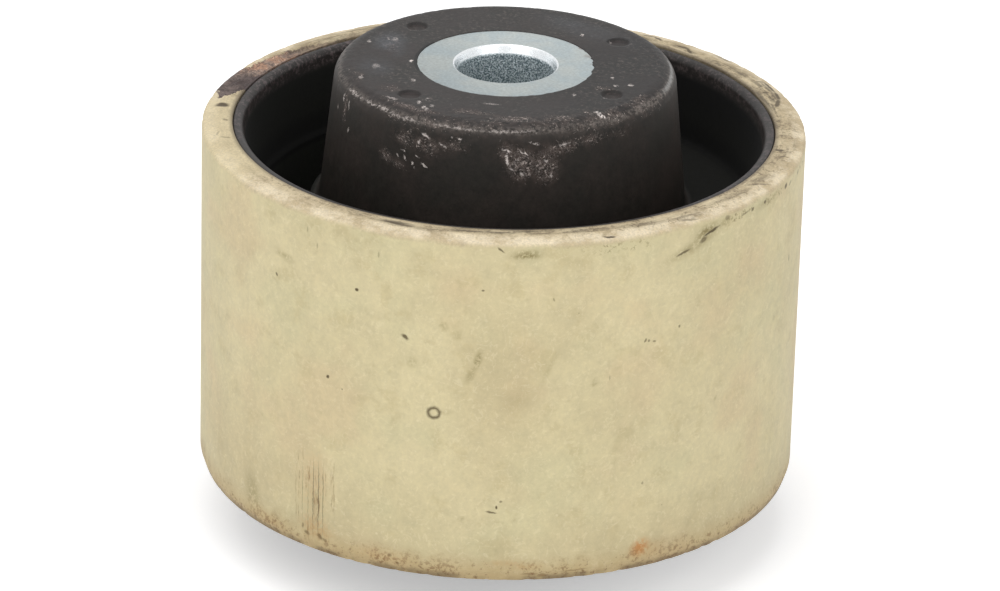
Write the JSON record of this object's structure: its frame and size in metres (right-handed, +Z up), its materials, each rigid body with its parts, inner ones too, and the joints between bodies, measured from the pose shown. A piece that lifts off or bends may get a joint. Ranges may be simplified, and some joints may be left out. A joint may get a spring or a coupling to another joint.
{
  "type": "engine mount",
  "caption": "Round engine mount bush: a rubber body with a tapered central boss, bonded between a plastic outer ring and a thick steel inner sleeve for a through bolt.",
  "frame": {"origin": "centre of the inner sleeve's lower end face, on the bore axis", "axes": "+Z up the bore towards the end with the moulding gates; the two through voids lie on X (soft direction), the two webs on Y (stiff direction)"},
  "size_m": [0.065, 0.065, 0.0526],
  "materials": {
    "sleeve_plastic": "natural cream glass-filled nylon, mottled, stained and scuffed, with a dirty rim",
    "black_rubber": "moulded black rubber, satin grey at the lip, with pale scuffs round the boss's edge",
    "zinc_steel": "pale blue-grey zinc plating, fine grain on the end faces, darker inside the bore"
  },
  "bodies": {
    "root": {"outer_sleeve": "sleeve_plastic", "rubber_body": "black_rubber", "inner_sleeve": "zinc_steel"}
  },
  "joints": []
}
